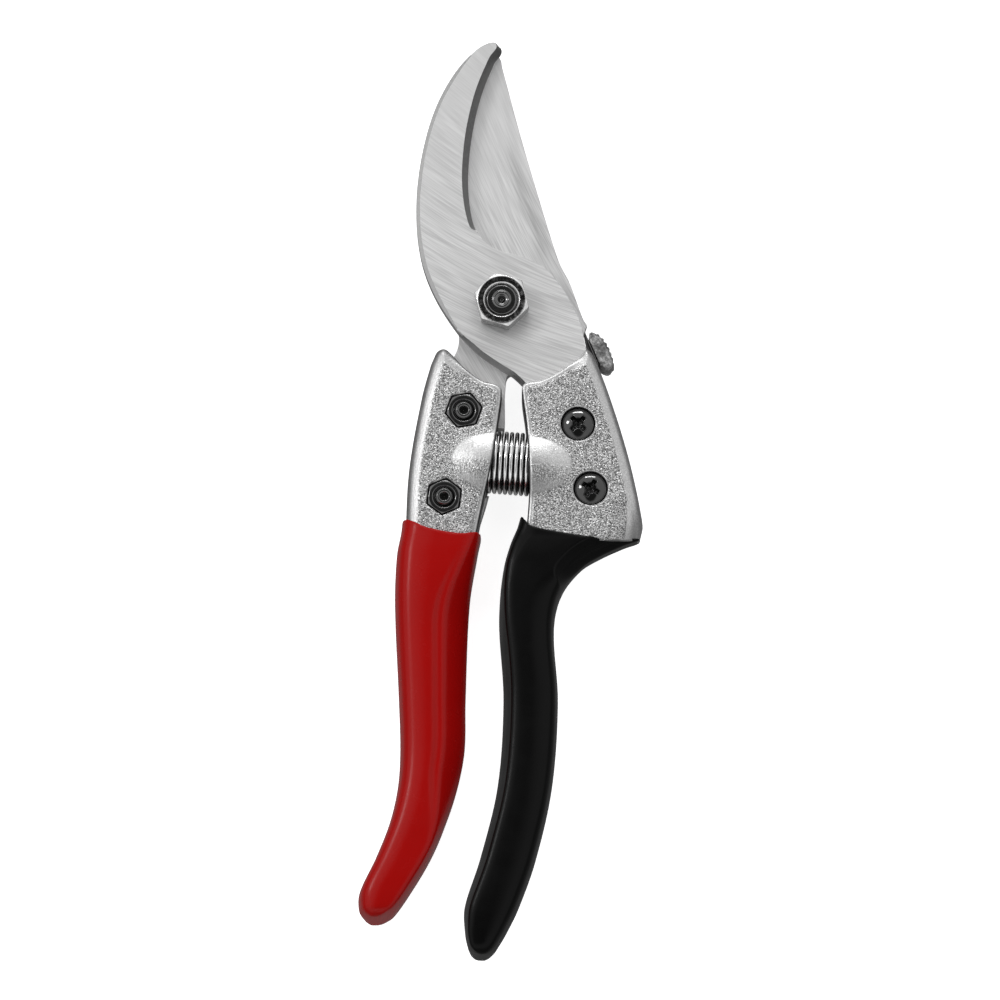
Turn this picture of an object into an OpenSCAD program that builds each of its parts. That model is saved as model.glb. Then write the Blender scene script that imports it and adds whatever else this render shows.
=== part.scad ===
// Bypass pruning shears, closed and lying flat.
// X runs to the right-hand half, Y to the blade tips, Z up from the surface they lie on.
// The pivot axis is the Z axis.

/* [Blades] */
// Height of the plane where the two blades slide past each other
shear_z = 8; // [7.8:0.1:8.2]
// Thickness of the hook blade
hook_t = 4; // [3.4:0.1:4.2]
// Thickness of the cutting blade
blade_t = 3.5; // [3:0.1:3.5]
// Gap between the blades
blade_gap = 0.05; // [0.02:0.01:0.1]
// Width of the ground bevel on the cutting blade
grind_w = 5; // [3:0.5:6]
// Width of the bevel along the hook's outer edge
hook_bevel_w = 1.1; // [0.6:0.1:1.5]

/* [Pivot] */
// Radius of the pivot bolt's bearing length
pivot_r = 4; // [3.8:0.1:4.2]
// Running clearance between pivot bolt and cutting blade, on the radius
pivot_clear = 0.05; // [0.02:0.01:0.09]
// Radius of the bolt's thread
pivot_thread_r = 3.5; // [3.3:0.1:3.6]
// Pivot nut across its flats
pivot_nut_af = 11; // [10.5:0.1:12]
// Height of the pivot nut
pivot_nut_h = 5; // [4:0.5:6]
// Thickness of the pivot washer
washer_t = 1; // [0.8:0.1:1.2]

/* [Handles] */
// Underside of the aluminium heads
head_z0 = 2; // [1.8:0.1:2.2]
// Top of the aluminium heads
head_z1 = 15; // [14.5:0.1:15.2]
// Thickness of the core bar inside each grip
core_t = 11; // [9:0.5:11]
// Largest thickness of the grips
grip_t = 17; // [16:0.5:17]

/* [Fasteners] */
// Radius of the M4 thread
screw_r = 2; // [2:0.1:2.1]
// Diameter of the pan heads
pan_d = 7.2; // [7:0.1:7.6]
// Height of the pan heads
pan_h = 2.4; // [2.2:0.1:2.6]
// M4 nuts across their flats
nut_af = 7; // [6.9:0.1:7.2]
// Height of the M4 nuts
nut_h = 3.2; // [3:0.1:3.2]

/* [Spring] */
// Outside diameter of the spring
spring_od = 14.2; // [13.6:0.1:14.2]
// Wire diameter of the spring
wire_d = 1; // [0.9:0.05:1.1]
// Number of turns
turns = 15; // [13:1:15]
// Length of the spring with the tool closed
spring_l = 18.6; // [18:0.1:18.8]
// Slope of the spring's axis
spring_tilt = -4.5; // [-6:0.5:-3]

/* [Catch] */
// Slope of the catch against the Y axis
catch_tilt = 22.5; // [22:0.5:23]
// Travel of the catch
catch_travel = 2; // [1.5:0.1:2]
// Swing radius of the blade's shoulder
shoulder_r = 19.4; // [19.2:0.1:19.5]

/* [Hidden] */
$fn = 64;
eps = 0.01;
curve_steps = 5;
steel = [0.78, 0.78, 0.77];
cast_aluminium = [0.74, 0.74, 0.73];
black_steel = [0.06, 0.06, 0.065];
red_vinyl = [0.63, 0.04, 0.04];
black_vinyl = [0.03, 0.03, 0.03];

blade_z1 = shear_z - blade_gap;
blade_z0 = blade_z1 - blade_t;
hook_z1 = shear_z + hook_t;
bolt_head_h = blade_z0 - blade_gap - washer_t - eps;
core_z0 = grip_t / 2 - core_t / 2;

// Screw places: x, y, angle of a nut's corner, angle of the cross recess
left_upper = [-8.5, -25, 10, 45];
left_lower = [-12.9, -44.8, 23, 20];
right_upper = [17.1, -28.1, 15, 45];
right_lower = [19.9, -42.9, 40, 60];

// Spring axis and the places where it leaves the two sockets
spring_at = [2.4, -35.9, grip_t / 2];
mouth_left = -4;
mouth_right = 4;
socket_r = spring_od / 2 + 0.35;
boss_r = grip_t / 2;

// ---- curves ----

function xy(p) = [p[0], p[1]];
function unit(v) = v / norm(v);
function polar(r, a) = [r * cos(a), r * sin(a)];
function sharp(p) = len(p) > 2;

// Direction of the curve at point i: along its neighbours, or along the stretch at a sharp point
function heading(p, i, stretch) =
    sharp(p[i]) ? stretch : unit(xy(p[(i + 1) % len(p)]) - xy(p[(i + len(p) - 1) % len(p)]));

function hermite(a, b, ta, tb, t) = let (d = norm(b - a))
    (2 * t ^ 3 - 3 * t ^ 2 + 1) * a + (t ^ 3 - 2 * t ^ 2 + t) * d * ta
    + (3 * t ^ 2 - 2 * t ^ 3) * b + (t ^ 3 - t ^ 2) * d * tb;

// Closed smooth outline through the points; a point with a third value is a sharp corner
function outline(p) = [
    for (i = [0 : len(p) - 1])
        let (j = (i + 1) % len(p), a = xy(p[i]), b = xy(p[j]), s = unit(b - a),
            ta = heading(p, i, s), tb = heading(p, j, s),
            n = sharp(p[i]) && sharp(p[j]) ? 1 : curve_steps)
            for (k = [0 : n - 1]) hermite(a, b, ta, tb, k / n)
];

// Open smooth line through the points, with n steps on each stretch
function line_heading(p, i) = unit(p[min(i + 1, len(p) - 1)] - p[max(i - 1, 0)]);
function smooth_line(p, n) = concat([
    for (i = [0 : len(p) - 2], k = [0 : n - 1])
        hermite(p[i], p[i + 1], line_heading(p, i), line_heading(p, i + 1), k / n)
], [p[len(p) - 1]]);

// The line moved sideways, to its left, by w at its middle and by less at its ends
function taper(i, n, ends) = min(1, ends + 4 * (1 - ends) * sin(180 * i / (n - 1)));
function beside(line, w, ends) = [
    for (i = [0 : len(line) - 1])
        let (h = line_heading(line, i)) line[i] + w * taper(i, len(line), ends) * [-h[1], h[0]]
];

// Solid between two lines at heights za and zb, used to cut a bevel.
// It is a row of slim prisms, three-sided, whose sloping face joins the two lines.
module bevel_cut(line_a, za, line_b, zb, z_out) {
    n = len(line_a);
    over = 0.15;
    a = [for (i = [0 : n - 1]) let (d = [line_a[i][0], line_a[i][1], za] - [line_b[i][0], line_b[i][1], zb])
        [line_a[i][0], line_a[i][1], za] + over * d];
    b = [for (i = [0 : n - 1]) let (d = [line_b[i][0], line_b[i][1], zb] - [line_a[i][0], line_a[i][1], za])
        [line_b[i][0], line_b[i][1], zb] + over * d];
    c = [for (i = [0 : n - 1]) [b[i][0], b[i][1], z_out]];
    faces = concat(
        [[0, n, 2 * n], [n - 1, 3 * n - 1, 2 * n - 1]],
        [for (i = [0 : n - 2]) each [
            [i, i + 1, n + i], [i + 1, n + i + 1, n + i],
            [n + i, n + i + 1, 2 * n + i], [n + i + 1, 2 * n + i + 1, 2 * n + i],
            [2 * n + i, 2 * n + i + 1, i], [2 * n + i + 1, i + 1, i]
        ]]
    );
    turned = cross(b[0] - a[0], c[0] - a[0]) * (a[1] - a[0]) < 0;
    polyhedron(points = concat(a, b, c), faces = turned ? [for (f = faces) [f[2], f[1], f[0]]] : faces);
}

// ---- outlines ----

hook_outer = [[-2.6, 60.2], [-7, 57.4], [-11.4, 52], [-15.4, 43.8], [-18.2, 32.8], [-19.2, 21.5],
    [-18.1, 10.8], [-15.2, 2.5], [-10.1, -5.8]];
hook_inner = [[-6.2, 18.6], [-7.3, 24.5], [-7.5, 31], [-6.6, 39.8], [-4.6, 48.6], [-1.7, 56],
    [0, 59.2]];
hook_inner_top = [[-6.9, 17.8], [-8.6, 22], [-8.9, 31], [-7.7, 40.5], [-5.7, 48.6], [-2.9, 56.2],
    [-1.1, 59.2]];
hook_hub = [[18.8, -10], [17.8, -4.8], [16.1, -0.8], [13.6, 3.6], [9.8, 8.2], [5.3, 10.6], [-1, 12.5],
    [-3.9, 14.4]];
hook_tang = [[-5.6, -10.6], [-0.5, -14.3], [3, -16.6], [5.6, -20], [6.6, -30], [7.2, -49, 1],
    [27, -51, 1], [24.6, -32], [21.2, -18]];

blade_edge = [[-1.8, 57.2], [-5.6, 51.6], [-8.8, 43.4], [-10.4, 33.5], [-10.6, 24], [-9.4, 15.6]];
blade_hub_left = [[-10.6, 8], [-11, 2], [-9.8, -4], [-9.8, -9], [-12.4, -14.5], [-16, -24],
    [-18.2, -36], [-19, -50, 1], [-5, -50, 1], [-3.3, -44.4], [-1, -35], [0.6, -28], [0.8, -18.5]];
blade_hub_right = [[1.8, -15.2], [6, -15.6], [10.6, -14]];
blade_spine = [[19.1, -3.9, 1], [18.2, -2.4], [15.2, 5.9], [12.8, 10.8], [7.6, 27.9], [3.7, 41.7],
    [0.2, 55.2], [-0.5, 57.6]];

// Whole plan of each blade; the cutting blade's is without the notch for the catch
hook_plan = concat(hook_outer, hook_tang, hook_hub, hook_inner);
cutting_plan = concat(blade_edge, blade_hub_left, blade_hub_right, [[19, -3, 1]], blade_spine);

// Straight line where each head ends and its grip begins: x, y, slope in degrees
left_rim = [-14, -51.8, -9];
right_rim = [18, -53.2, -5];
function rim_point(rim, x) = [x, rim[1] + (x - rim[0]) * tan(rim[2]), 1];

left_head = [[-14.9, -11.8], [-13.5, -10.6], [-11.6, -11.8], [-8.1, -15.4], [-4.3, -18.2], [-1.1, -19.1],
    [0, -20.4], [-0.7, -26.5], [-2.5, -37.6], [-4.2, -45.2], rim_point(left_rim, -7), rim_point(left_rim, -21.3),
    [-20.5, -38.8], [-17.8, -22.2], [-15.7, -13.8]];
right_head = [[5.2, -18.9], [8.8, -18.1], [13.4, -15.7], [17.4, -12.5], [19.1, -10.6],
    [21.4, -14], [25.3, -25.1], [28.4, -36.1], [30.8, -47], [31.3, -51], rim_point(right_rim, 30.4),
    rim_point(right_rim, 5.3), [6.7, -44.6], [6.4, -36], [6, -27.8], [4.9, -20.4]];

// Core bars, from inside each head to near the end of its grip
left_core = [[-20.4, -47, 1], [-6.8, -47, 1], [-7.6, -57], [-9.6, -75], [-10.2, -100], [-12.2, -111],
    [-19, -128], [-23.4, -134], [-27.6, -134.6], [-29.2, -131], [-23.2, -116.5], [-20.7, -103],
    [-21.4, -86], [-21.9, -70], [-21.2, -56]];
right_core = [[6.6, -47, 1], [29.4, -47, 1], [28.2, -52.4], [21, -55.2], [14, -60.6], [10.6, -67],
    [10, -80], [10.4, -95], [8.9, -111], [3, -134], [-0.8, -142], [-4.2, -143.4], [-6.2, -140.4],
    [-2.6, -124], [1.2, -107], [2.2, -93], [1.4, -76], [2, -64], [4, -54]];

// Grip outlines: y, left edge, right edge, part of the full thickness
left_grip_rows = [[-51.9, -22.5, -4.4, 0.98], [-57.5, -23.5, -5.4, 1], [-68.6, -23.9, -7.1, 1],
    [-90.6, -23, -8, 0.97], [-101.6, -22.7, -8.2, 0.96], [-109.9, -23.2, -9.7, 0.96],
    [-118.1, -25, -12.3, 0.95], [-126.4, -28.2, -15.6, 0.93], [-134.2, -31.8, -20, 0.88],
    [-138.4, -32, -22.8, 0.8], [-141, -30.6, -25.4, 0.62]];
right_grip_rows = [[-53.15, 3.6, 31.2, 0.98], [-54.8, 2.4, 28, 0.99], [-57.6, 1.2, 21.9, 1],
    [-60.3, 0.5, 17.8, 1], [-65.8, -0.3, 13.5, 1], [-74.1, -0.6, 11.7, 1],
    [-90.6, 0.3, 12.6, 0.97], [-109.9, -1, 11.3, 0.96], [-126.4, -4.9, 7.7, 0.93], [-137.4, -8.3, 3.9, 0.9],
    [-143.6, -8.2, 1, 0.84], [-147.8, -7.2, -1.5, 0.74], [-149.4, -6.2, -2.8, 0.56]];

// ---- shared shapes ----

module plate(points, z0, z1) {
    translate([0, 0, z0]) linear_extrude(z1 - z0) polygon(points);
}

module on_spring_axis(at = 0) {
    translate(spring_at) rotate([0, 0, spring_tilt]) translate([at, 0, 0]) rotate([0, 90, 0]) children();
}

// Smooth boss around a spring socket; side is -1 for the left handle
module boss(mouth, side) {
    on_spring_axis(mouth) rotate([side < 0 ? 180 : 0, 0, 0]) rotate_extrude()
        polygon([for (i = [0 : 8]) let (t = i / 8) [boss_r * sqrt(1 - 0.42 * t * t), 9 * t], [0, 9], [0, 0]]);
}

// Blind socket that reaches to the end of the spring, with a short peg left in it
module socket(mouth, side, end = 0.1) {
    depth = spring_l / 2 + end - abs(mouth);
    difference() {
        on_spring_axis(mouth - side) rotate([side < 0 ? 180 : 0, 0, 0]) cylinder(h = depth + 1, r = socket_r);
        on_spring_axis(side * (spring_l / 2 + end)) rotate([side < 0 ? 0 : 180, 0, 0])
            translate([0, 0, -eps]) cylinder(h = 3, r = spring_od / 2 - wire_d - 0.6);
    }
}

// Same room, used to notch the tang around the socket
module socket_room(mouth, side) {
    on_spring_axis(mouth - side * 6) rotate([side < 0 ? 180 : 0, 0, 0])
        cylinder(h = spring_l / 2 - abs(mouth) + 7.2, r = socket_r + 0.6);
}

module in_catch(at = [0, 0, 0]) {
    rotate([0, 0, catch_tilt]) translate(at) children();
}

// Rings around a grip's length; the first lies along the lower edge of the head
function row_curve(rows) = smooth_line(rows, 3);
function grip_ring(row, first, slope) = let (
    c = (row[1] + row[2]) / 2, a = (row[2] - row[1]) / 2, h = grip_t / 2 * row[3],
    lean = tan(slope) * max(0, 1 - (first - row[0]) / 12))
    [for (k = [0 : 19]) let (w = 18 * k, s = sin(w), u = a * sign(cos(w)) * abs(cos(w)) ^ 0.8)
        [c + u, row[0] + lean * u, grip_t / 2 + h * sign(s) * abs(s) ^ 0.8]];

module grip_body(rows, rim) {
    rings = [for (r = row_curve(rows)) grip_ring(r, rows[0][0], rim[2])];
    m = 20;
    n = len(rings);
    polyhedron(
        points = [for (r = rings) each r],
        faces = concat(
            [[for (k = [0 : m - 1]) m - 1 - k], [for (k = [0 : m - 1]) (n - 1) * m + k]],
            [for (i = [0 : n - 2], k = [0 : m - 1]) let (q = (k + 1) % m) each [
                [i * m + k, i * m + q, (i + 1) * m + k], [i * m + q, (i + 1) * m + q, (i + 1) * m + k]
            ]]
        )
    );
}

// Core bar inside a grip
module core(points) {
    plate(outline(points), core_z0, core_z0 + core_t);
}

module hex(af, h) {
    cylinder(h = h, r = af / sqrt(3), $fn = 6);
}

// Hex nut with its corners turned down, its hole along Z
module nut(af, h, r) {
    difference() {
        intersection() {
            hex(af, h);
            translate([0, 0, h / 2]) rotate_extrude() polygon([[0, -h / 2], [af / 2 - 0.1, -h / 2],
                [af / 2 + 0.9, -h / 2 + 0.55], [af / 2 + 0.9, h / 2 - 0.55], [af / 2 - 0.1, h / 2], [0, h / 2]]);
        }
        translate([0, 0, -1]) cylinder(h = h + 2, r = r);
        translate([0, 0, h - 0.4]) cylinder(h = 0.41, r1 = r, r2 = r + 0.4);
    }
}

// Pan head screw with its seat at z = 0, head upwards and shank downwards
module pan_screw(length) {
    difference() {
        union() {
            rotate_extrude() polygon([[0, 0], [pan_d / 2 - 0.1, 0], [pan_d / 2, 0.4], [pan_d / 2 - 0.3, pan_h * 0.6],
                [pan_d / 2 - 1.2, pan_h * 0.9], [pan_d / 4, pan_h], [0, pan_h]]);
            translate([0, 0, -length]) cylinder(h = length + 0.5, r = screw_r);
        }
        for (a = [0, 90]) rotate([0, 0, a]) translate([-2.1, -0.45, pan_h - 1.5]) cube([4.2, 0.9, 2]);
    }
}

// ---- blades ----

// Line that the cutting blade's bevel starts from, and the same line at the sharp edge
grind_line = smooth_line(blade_edge, 4);
grind_inner = beside(grind_line, grind_w, 0.3);

module cutting_blade() {
    shoulder = [for (a = [-23.5 : 2.5 : -13.5]) concat(polar(shoulder_r, a), [1])];
    notch = [for (a = [-47 : 3 : -24]) concat(polar(17.5, a), [1])];
    points = outline(concat(blade_edge, blade_hub_left, blade_hub_right, notch, shoulder, blade_spine));
    color(steel) difference() {
        plate(points, blade_z0, blade_z1);
        bevel_cut(grind_inner, blade_z0, grind_line, blade_z1 - 0.4, blade_z0 - 1);
        translate([0, 0, blade_z0 - 1]) cylinder(h = blade_t + 2, r = pivot_r + pivot_clear);
        for (s = [left_upper, left_lower]) translate([s[0], s[1], blade_z0 - 1])
            cylinder(h = blade_t + 2, r = screw_r + 0.1);
        socket_room(mouth_left, -1);
    }
}

module hook_blade() {
    outer_line = [for (i = [3 : 40]) smooth_line(hook_outer, 5)[i]];
    color(steel) difference() {
        plate(outline(hook_plan), shear_z, hook_z1);
        bevel_cut(smooth_line(hook_inner_top, 4), hook_z1, smooth_line(hook_inner, 4), shear_z + 0.8, hook_z1 + 1);
        bevel_cut(beside(outer_line, hook_bevel_w, 0.4), hook_z1, outer_line, hook_z1 - 0.8, hook_z1 + 1);
        translate([0, 0, shear_z - 1]) cylinder(h = hook_t + 2, r = pivot_r);
        for (s = [right_upper, right_lower]) translate([s[0], s[1], shear_z - 1])
            cylinder(h = hook_t + 2, r = screw_r + 0.1);
        socket_room(mouth_right, 1);
    }
}

// ---- handles ----

module left_handle() {
    color(cast_aluminium) difference() {
        union() {
            difference() {
                union() {
                    plate(outline(left_head), head_z0, head_z1);
                    boss(mouth_left, -1);
                }
                plate([[-30, -60], [10, -60], [10, -5], [-30, -5]], blade_z0, blade_z1);
            }
            difference() {
                core(left_core);
                plate(outline(cutting_plan), blade_z0, blade_z1);
            }
            left_filler();
        }
        socket(mouth_left, -1);
        for (s = [left_upper, left_lower]) translate([s[0], s[1], 0]) {
            cylinder(h = 20, r = screw_r + 0.05);
            translate([0, 0, head_z1 - nut_h]) rotate([0, 0, s[2]]) hex(nut_af + 0.5, 10);
            translate([0, 0, -1]) cylinder(h = head_z0 + 2.2, d = pan_d + 0.6);
        }
    }
}

// The casting closes the slot beside the tang, so that the tang is held all round
module left_filler() {
    difference() {
        plate(outline(left_head), blade_z0 - eps, blade_z1 + eps);
        plate(outline(cutting_plan), blade_z0 - 1, blade_z1 + 1);
    }
}

module right_handle() {
    color(cast_aluminium) difference() {
        union() {
            difference() {
                union() {
                    plate(outline(right_head), head_z0, head_z1);
                    boss(mouth_right, 1);
                }
                plate([[-5, -60], [40, -60], [40, -5], [-5, -5]], shear_z, hook_z1);
            }
            difference() {
                core(right_core);
                plate(outline(hook_plan), shear_z, hook_z1);
            }
            right_filler();
        }
        socket(mouth_right, 1);
        catch_room();
        for (s = [right_upper, right_lower]) translate([s[0], s[1], 0]) {
            cylinder(h = 20, r = screw_r + 0.05);
            translate([0, 0, head_z1 - 1.8]) cylinder(h = 10, d = pan_d + 0.6);
            translate([0, 0, -1]) rotate([0, 0, s[2]]) hex(nut_af + 0.5, head_z0 + nut_h + 1);
        }
    }
}

module right_filler() {
    difference() {
        plate(outline(right_head), shear_z - eps, hook_z1 + eps);
        plate(outline(hook_plan), shear_z - 1, hook_z1 + 1);
    }
}

// Channel for the catch in the right handle, open at the hub and along the outer edge
module catch_room() {
    in_catch([8.2, -26.6, shear_z - 3]) cube([12, 26, 3 + eps]);
    in_catch([10.6, -25.5, shear_z - 3.8]) cube([2.4, 8, 2]);
    in_catch([13.9 - eps, -20.9 - eps, shear_z - 3]) cube([8, 9, 6 + eps]);
}

// ---- grips ----

module left_grip() {
    color(red_vinyl) difference() {
        grip_body(left_grip_rows, left_rim);
        core(left_core);
    }
}

module right_grip() {
    color(black_vinyl) difference() {
        grip_body(right_grip_rows, right_rim);
        core(right_core);
    }
}

// ---- pivot ----

module pivot_bolt() {
    color(black_steel) difference() {
        union() {
            intersection() {
                hex(12, bolt_head_h);
                cylinder(h = bolt_head_h, r1 = 6, r2 = 6 + bolt_head_h);
            }
            cylinder(h = hook_z1, r = pivot_r);
            cylinder(h = hook_z1 + pivot_nut_h + 0.2, r = pivot_thread_r);
        }
        translate([0, 0, hook_z1 + pivot_nut_h - 0.6]) cylinder(h = 1, r = 1.1);
    }
}

module pivot_nut() {
    color(steel) translate([0, 0, hook_z1]) rotate([0, 0, -16]) nut(pivot_nut_af, pivot_nut_h, pivot_thread_r);
}

module pivot_washer() {
    color(steel) translate([0, 0, bolt_head_h + eps]) difference() {
        cylinder(h = washer_t, r = 6.8);
        translate([0, 0, -1]) cylinder(h = 3, r = pivot_r + 0.02);
    }
}

// ---- handle screws and nuts ----

// Left screws enter from the underside, right screws from the top
module left_screw(s) {
    color(black_steel) translate([s[0], s[1], head_z0 + 1.2]) rotate([180, 0, s[3]])
        pan_screw(head_z1 - head_z0 - 1.2 + 0.5);
}

module right_screw(s) {
    color(black_steel) translate([s[0], s[1], head_z1 - 1.8]) rotate([0, 0, s[3]])
        pan_screw(head_z1 - 1.8 - head_z0 + 0.5);
}

module left_nut(s) {
    color(black_steel) translate([s[0], s[1], head_z1 - nut_h]) rotate([0, 0, s[2]]) nut(nut_af, nut_h, screw_r);
}

module right_nut(s) {
    color(black_steel) translate([s[0], s[1], head_z0 + nut_h]) rotate([180, 0, s[2]]) nut(nut_af, nut_h, screw_r);
}

module left_upper_screw() { left_screw(left_upper); }
module left_lower_screw() { left_screw(left_lower); }
module right_upper_screw() { right_screw(right_upper); }
module right_lower_screw() { right_screw(right_lower); }
module left_upper_nut() { left_nut(left_upper); }
module left_lower_nut() { left_nut(left_lower); }
module right_upper_nut() { right_nut(right_upper); }
module right_lower_nut() { right_nut(right_lower); }

// ---- spring ----

module spring() {
    mean_r = (spring_od - wire_d) / 2;
    side = 8;
    per_turn = 16;
    n = turns * per_turn;
    pitch = (spring_l - wire_d) / turns;
    rings = [for (i = [0 : n]) let (a = 360 * i / per_turn)
        for (k = [0 : side - 1]) let (w = 360 * k / side, r = mean_r + wire_d / 2 * cos(w))
            [r * cos(a), r * sin(a), pitch * i / per_turn + wire_d / 2 * sin(w)]];
    color(steel) on_spring_axis((wire_d - spring_l) / 2) polyhedron(
        points = rings,
        faces = concat(
            [[for (k = [0 : side - 1]) k], [for (k = [0 : side - 1]) n * side + side - 1 - k]],
            [for (i = [0 : n - 1], k = [0 : side - 1]) let (q = (k + 1) % side) each [
                [i * side + k, (i + 1) * side + k, i * side + q],
                [i * side + q, (i + 1) * side + k, (i + 1) * side + q]
            ]]
        )
    );
}

// ---- safety catch, drawn in a frame turned so that its Y is the way it slides ----

// Black guide strip along the handle's outer edge, with a slot for the rivet
module catch_guide() {
    top = shear_z + 3;
    color(black_steel) in_catch() difference() {
        plate([[13.9, -20.9], [14.9, -20.9], [14.9, -13.2], [14.5, -13.6], [13.95, -15.6]], shear_z - 2.9, top);
        translate([13, -17.5 - 1.1, shear_z - 1.6 - 1.1]) cube([3, 2.2 + catch_travel, 2.2]);
    }
}

// Slider with the finger that drops in behind the blade's shoulder
module catch_slider() {
    finger = [for (x = [10 : 0.75 : 12.3]) [x, -sqrt((shoulder_r + 0.4) ^ 2 - x * x)]];
    color(black_steel) in_catch() difference() {
        plate(concat([[8.6, -24], [13.7, -24], [13.7, -16.5], [12.4, -16.5]],
            [for (i = [len(finger) - 1 : -1 : 0]) finger[i]], [[9.6, -18.6], [8.6, -20]]),
            shear_z - 2.8, shear_z - 0.3);
        translate([12, -17.5, shear_z - 1.6]) rotate([0, 90, 0]) cylinder(h = 4, r = 0.9);
    }
}

// Ribbed thumb pad
module catch_pad() {
    pad = outline([[15, -15, 1], [16.1, -13.6], [17.5, -14.5], [18.4, -17.4], [18.5, -20.8], [17.4, -23.3],
        [16.2, -23.5], [15, -21.6, 1]]);
    color([0.5, 0.5, 0.5]) in_catch() difference() {
        plate(pad, shear_z - 4.6, shear_z + 3.2);
        for (i = [0 : 5]) translate([18.9 - abs(i - 2.5) * 0.12, -21.6 + 1.35 * i, 0]) cylinder(h = 20, r = 0.5);
        translate([14, -17.5, shear_z - 1.6]) rotate([0, 90, 0]) cylinder(h = 3, r = 0.9);
    }
}

module catch_rivet() {
    color(steel) in_catch() translate([12, -17.5, shear_z - 1.6]) rotate([0, 90, 0]) cylinder(h = 5, r = 0.9);
}

// Arched leaf under the slider that holds it at either end of its travel
module catch_leaf() {
    arch = [for (i = [0 : 10]) [-25.3 + 0.76 * i, 0.1 + 0.55 * sin(18 * i)]];
    color(steel) in_catch([10.9, 0, shear_z - 3.8]) rotate([90, 0, 90]) linear_extrude(1.8)
        polygon(concat(arch, [for (i = [10 : -1 : 0]) arch[i] + [0, 0.25]]));
}

cutting_blade();
hook_blade();
left_handle();
right_handle();
left_grip();
right_grip();
pivot_bolt();
pivot_nut();
pivot_washer();
left_upper_screw();
left_lower_screw();
right_upper_screw();
right_lower_screw();
left_upper_nut();
left_lower_nut();
right_upper_nut();
right_lower_nut();
spring();
catch_guide();
catch_slider();
catch_pad();
catch_rivet();
catch_leaf();
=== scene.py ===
# Bypass pruning shears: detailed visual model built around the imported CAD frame.
# Shapes are worked out in millimetres and written to Blender in metres.
import math

import bmesh
import bpy
import numpy as np
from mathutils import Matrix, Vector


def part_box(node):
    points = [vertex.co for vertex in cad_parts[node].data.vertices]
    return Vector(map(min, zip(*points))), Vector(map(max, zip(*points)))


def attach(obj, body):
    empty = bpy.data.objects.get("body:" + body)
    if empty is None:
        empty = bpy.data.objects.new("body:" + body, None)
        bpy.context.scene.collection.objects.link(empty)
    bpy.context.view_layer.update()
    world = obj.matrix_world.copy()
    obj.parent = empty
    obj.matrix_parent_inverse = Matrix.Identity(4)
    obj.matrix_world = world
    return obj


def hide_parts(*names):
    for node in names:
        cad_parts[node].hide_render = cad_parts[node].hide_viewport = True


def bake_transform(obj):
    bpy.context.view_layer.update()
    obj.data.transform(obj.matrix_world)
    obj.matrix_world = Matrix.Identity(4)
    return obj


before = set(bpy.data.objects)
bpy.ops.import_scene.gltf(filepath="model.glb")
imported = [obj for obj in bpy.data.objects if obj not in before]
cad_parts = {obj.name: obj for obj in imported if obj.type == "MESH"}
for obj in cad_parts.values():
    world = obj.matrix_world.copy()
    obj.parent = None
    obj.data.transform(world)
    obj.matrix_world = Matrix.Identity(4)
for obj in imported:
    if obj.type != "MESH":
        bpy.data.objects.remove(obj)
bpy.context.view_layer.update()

import openvdb
from mathutils import Vector

MM = 0.001
MIDDLE_Z = 8.5


def box_mm(node):
    low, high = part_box(node)
    return np.array(low) / MM, np.array(high) / MM


def centre_mm(node):
    low, high = box_mm(node)
    return (low + high) / 2


# ---------------------------------------------------------------- curves

def unit(v):
    return v / np.linalg.norm(v)


def hermite(a, b, ta, tb, t):
    d = np.linalg.norm(b - a)
    return ((2 * t**3 - 3 * t**2 + 1) * a + (t**3 - 2 * t**2 + t) * d * ta
            + (3 * t**2 - 2 * t**3) * b + (t**3 - t**2) * d * tb)


def outline(points, steps=8, with_place=False):
    """Closed smooth outline through the points; a point with a third value is a sharp corner.
    The place of each returned point is the number of the given point before it, plus the share of the way
    to the next one."""
    n = len(points)
    xy = [np.array(p[:2], float) for p in points]
    sharp = [len(p) > 2 for p in points]
    line, place = [], []
    for i in range(n):
        j = (i + 1) % n
        along = unit(xy[j] - xy[i])
        ta = along if sharp[i] else unit(xy[j] - xy[i - 1])
        tb = along if sharp[j] else unit(xy[(j + 1) % n] - xy[i])
        count = 1 if sharp[i] and sharp[j] else steps
        line += [hermite(xy[i], xy[j], ta, tb, k / count) for k in range(count)]
        place += [i + k / count for k in range(count)]
    return (np.array(line), np.array(place)) if with_place else np.array(line)


def smooth_line(points, steps=8):
    """Open smooth line through the points, which may have any number of values each."""
    p = [np.array(q, float) for q in points]
    last = len(p) - 1
    heading = [unit(p[min(i + 1, last)] - p[max(i - 1, 0)]) for i in range(last + 1)]
    line = [hermite(p[i], p[i + 1], heading[i], heading[i + 1], k / steps)
            for i in range(last) for k in range(steps)]
    return np.array(line + [p[-1]])


def ramp_to(x, a, b):
    """0 up to a, 1 from b on, smooth between them."""
    t = np.clip((x - a) / (b - a), 0, 1)
    return t * t * (3 - 2 * t)


# ---------------------------------------------------------------- solids as distance fields

class Block:
    """A regular grid of points over a box, in millimetres."""

    def __init__(self, low, high, step):
        self.step = step
        self.low = np.array(low, float) - 4 * step
        count = np.ceil((np.array(high, float) + 4 * step - self.low) / step).astype(int) + 1
        axes = [self.low[k] + step * np.arange(count[k]) for k in range(3)]
        self.shape = tuple(count)
        self.x = axes[0][:, None, None].astype(np.float32)
        self.y = axes[1][None, :, None].astype(np.float32)
        self.z = axes[2][None, None, :].astype(np.float32)


def both(a, b, r=0.0):
    """Intersection with its convex edge rounded to radius r."""
    if np.isscalar(r) and r == 0:
        return np.maximum(a, b)
    return np.minimum(np.maximum(a, b), -r) + np.hypot(np.maximum(a + r, 0), np.maximum(b + r, 0))


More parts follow.
